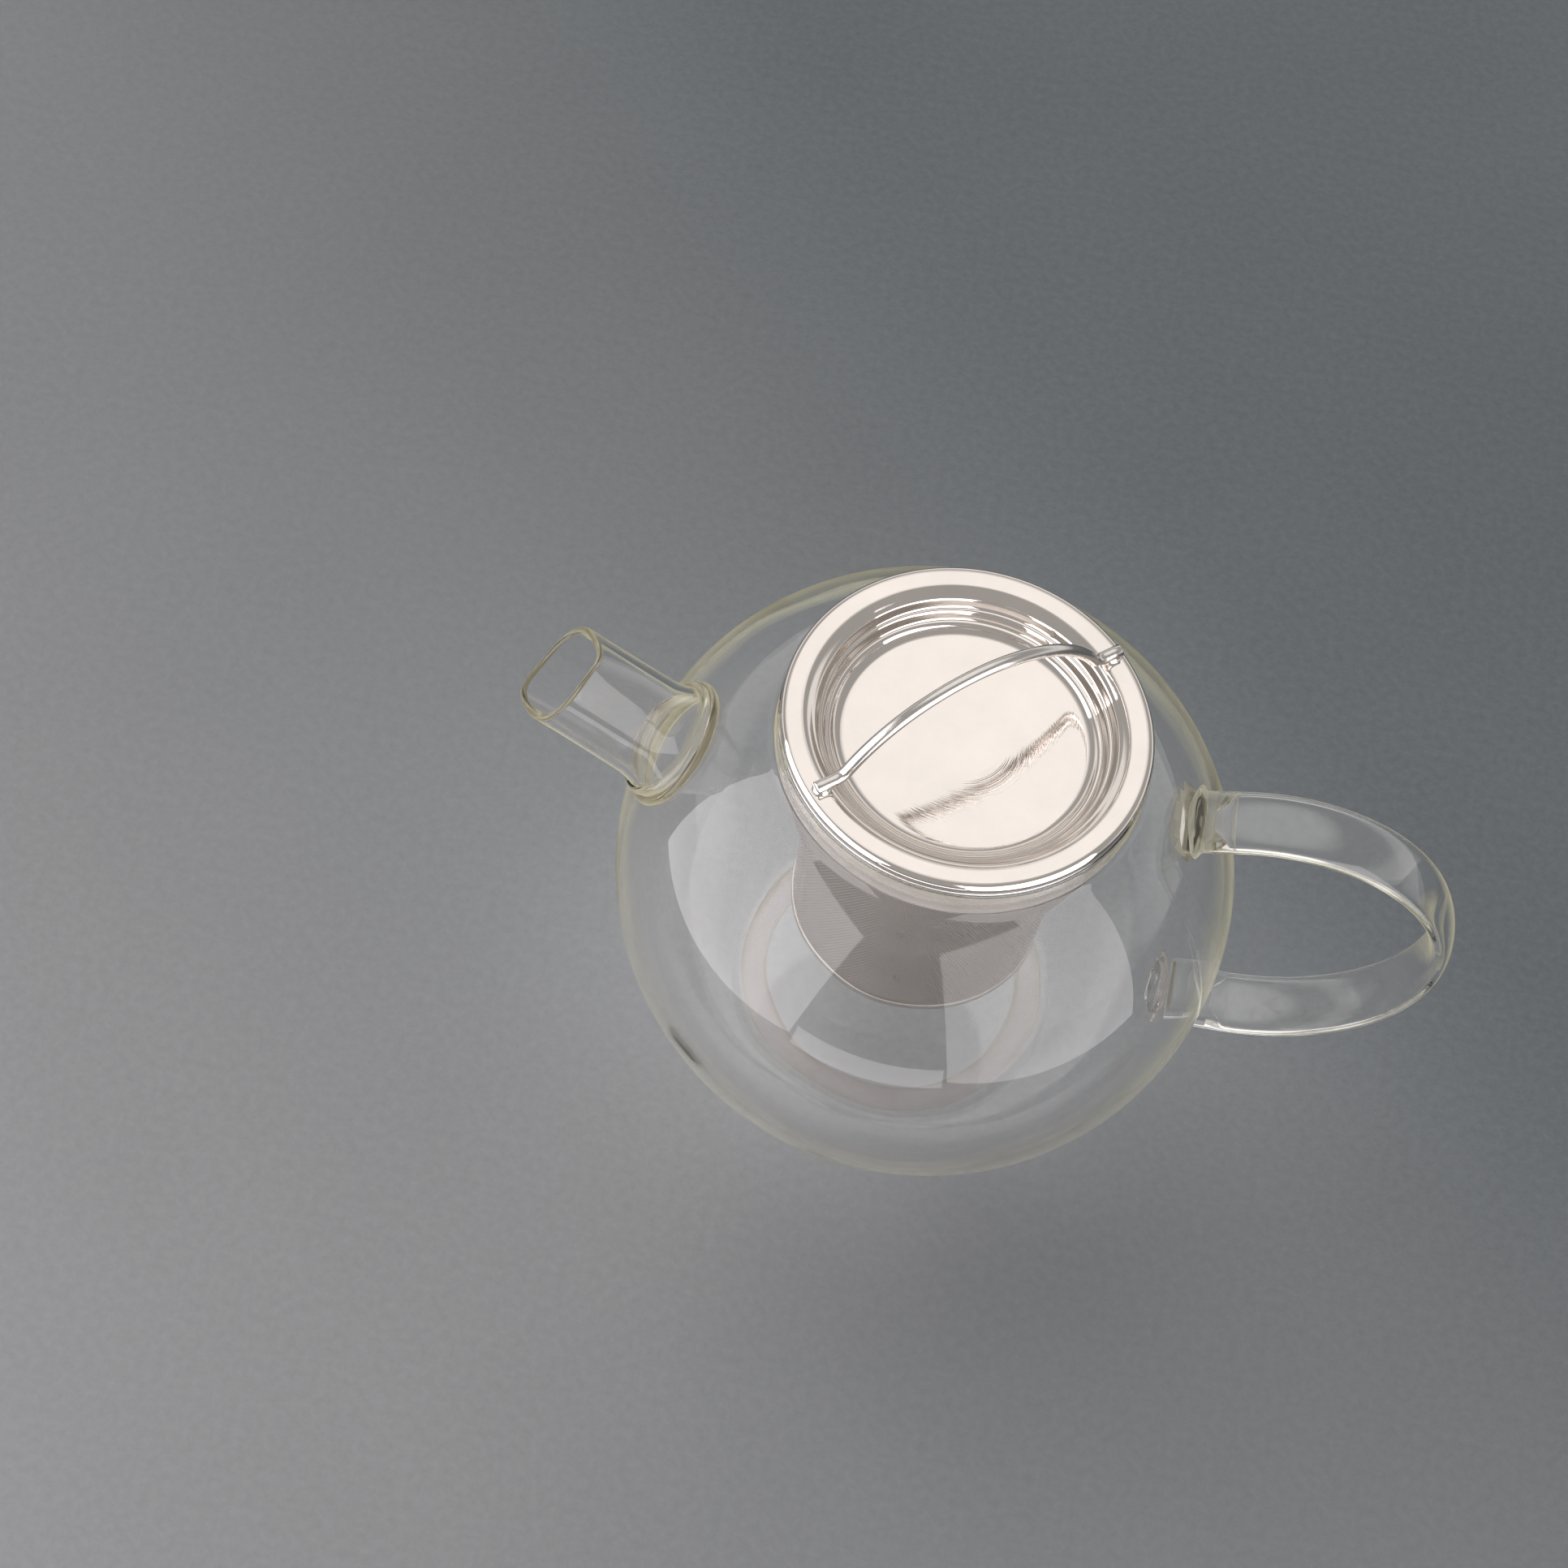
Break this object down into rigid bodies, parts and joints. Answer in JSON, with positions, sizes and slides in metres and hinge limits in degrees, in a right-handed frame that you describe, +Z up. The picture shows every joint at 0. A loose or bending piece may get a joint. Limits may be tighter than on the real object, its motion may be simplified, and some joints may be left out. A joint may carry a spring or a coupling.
{
  "type": "teapot",
  "caption": "Round clear glass teapot with a straight spout, hollow loop handle, lift-out perforated steel infuser and a dished steel lid with a wire bail.",
  "frame": {"origin": "on the table under the bulb's axis, at the centre of the flat foot", "axes": "+Z up along the bulb's axis, spout towards -X, handle towards +X"},
  "size_m": [0.2284, 0.15, 0.1503],
  "materials": {
    "clear_glass": "clear blown borosilicate glass, polished",
    "weld_glass": "thick fused glass, faintly yellow-green",
    "brushed_steel": "stainless steel brushed round the band",
    "perforated_steel": "thin stainless steel sheet with fine round holes in staggered rows",
    "polished_steel": "pressed stainless steel, spun and polished",
    "wire_steel": "polished stainless steel wire"
  },
  "bodies": {
    "pot": {"glass_bulb": "clear_glass", "spout_tube": "clear_glass", "spout_weld_bead": "weld_glass", "handle_tube": "clear_glass", "handle_upper_weld": "weld_glass", "handle_lower_weld": "weld_glass"},
    "infuser": {"infuser_collar": "brushed_steel", "infuser_wall": "perforated_steel", "infuser_wall_seam": "perforated_steel", "infuser_floor": "perforated_steel", "infuser_floor_hem": "perforated_steel"},
    "lid": {"lid_dish": "polished_steel", "lid_bail": "wire_steel", "bail_spot_welds": "wire_steel"}
  },
  "joints": [
    {"name": "infuser_lift", "type": "slide", "parent": "pot", "child": "infuser", "axis": [0, 0, 1], "range_m": [0, 0.095]},
    {"name": "lid_lift", "type": "slide", "parent": "infuser", "child": "lid", "axis": [0, 0, 1], "range_m": [0, 0.045]}
  ]
}
